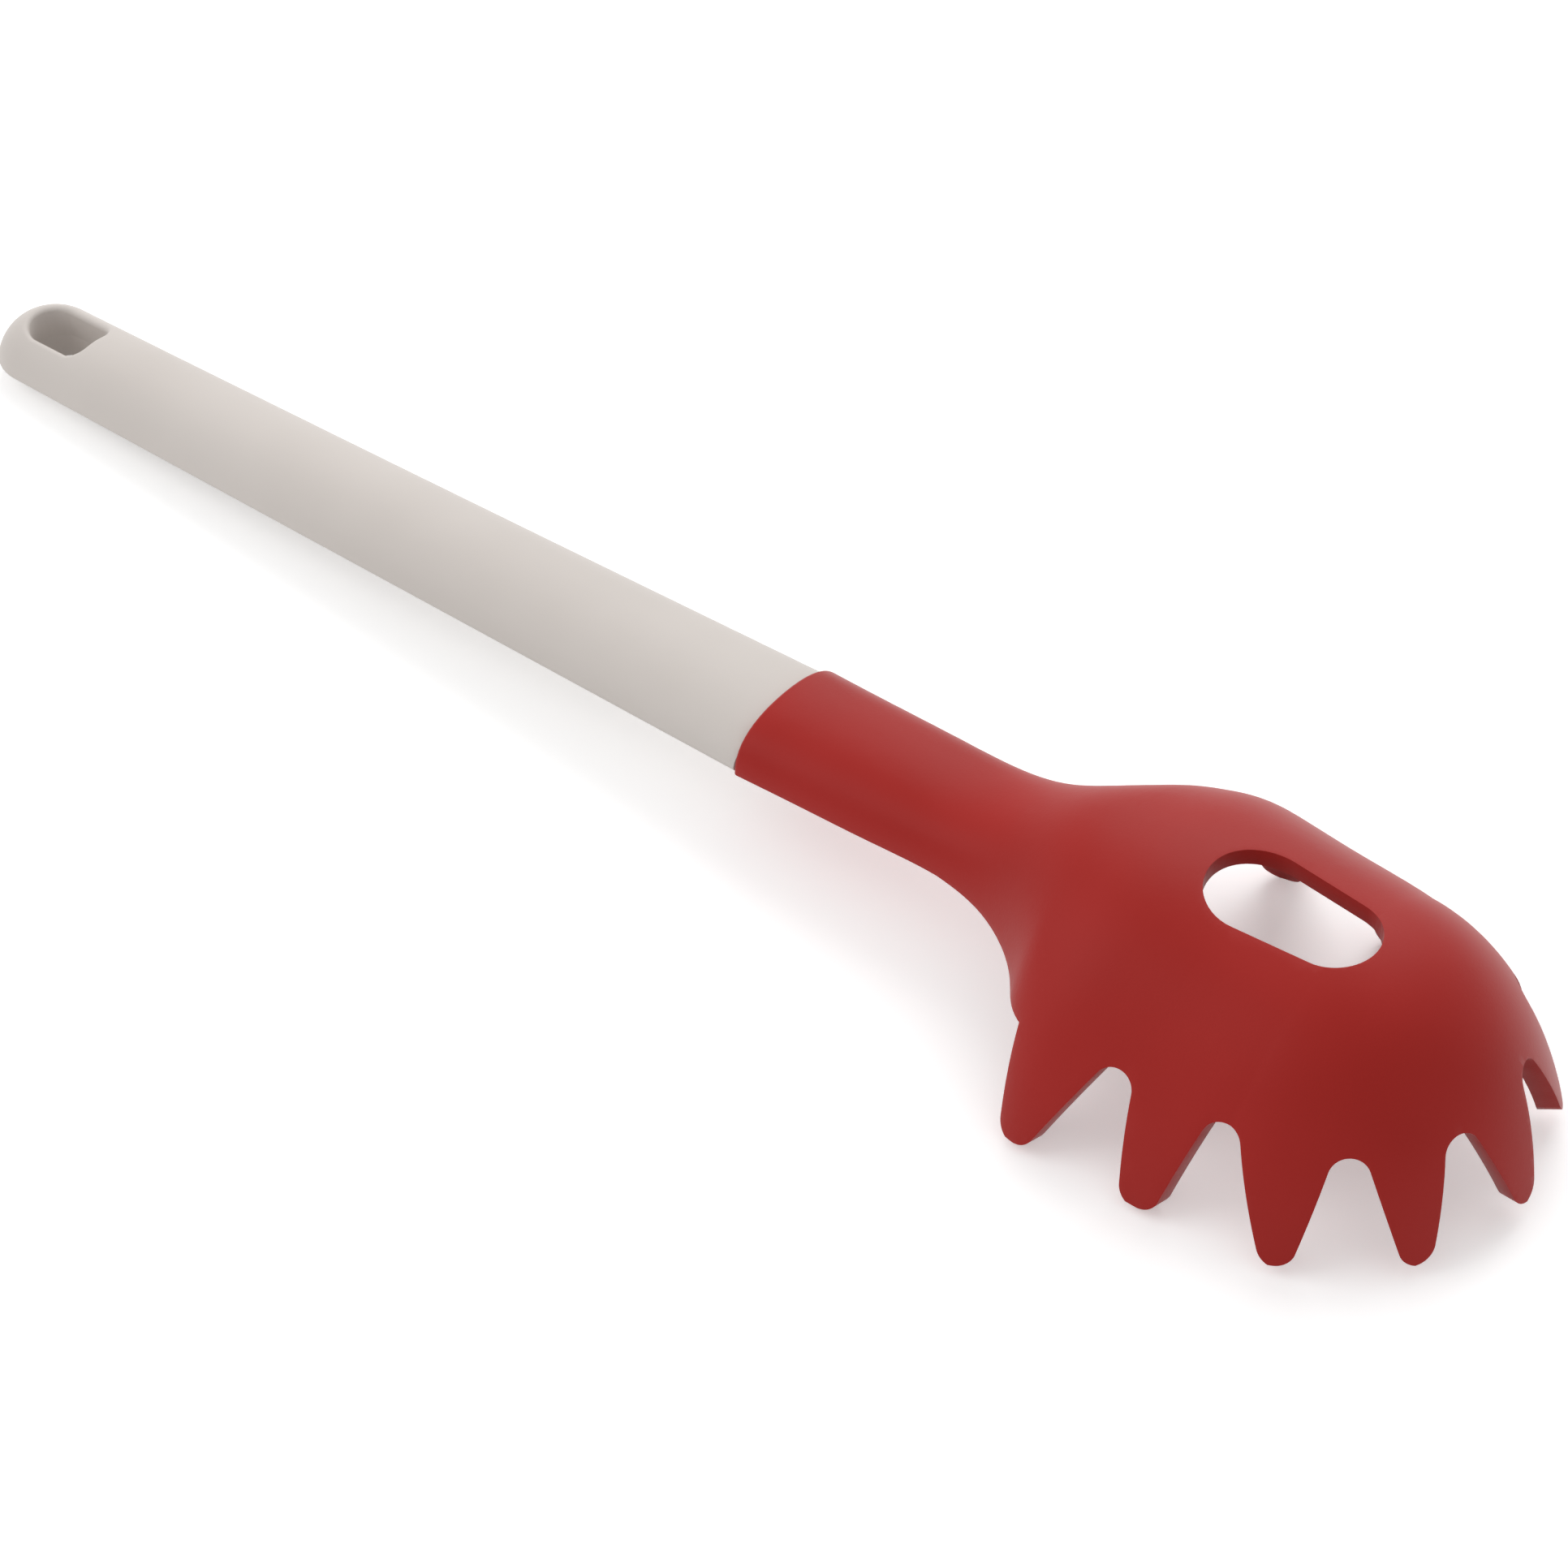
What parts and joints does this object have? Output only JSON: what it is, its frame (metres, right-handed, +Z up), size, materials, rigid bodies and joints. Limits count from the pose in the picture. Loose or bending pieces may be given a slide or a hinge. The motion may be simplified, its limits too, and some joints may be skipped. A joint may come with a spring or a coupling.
{
  "type": "pasta server",
  "caption": "Pasta server with a rounded scoop, a ring of tapered tines, a drain slot in the roof, and a long flat handle with a hanging hole.",
  "frame": {"origin": "on the table under the middle of the tool's length and width", "axes": "+X along the tool towards the front of the scoop, +Y across it, +Z up from the table"},
  "size_m": [0.2974, 0.0696, 0.0329],
  "materials": {
    "scoop_plastic": "satin",
    "handle_plastic": "satin"
  },
  "bodies": {
    "root": {"head": "scoop_plastic", "handle_shell": "handle_plastic", "handle_base": "handle_plastic"}
  },
  "joints": []
}
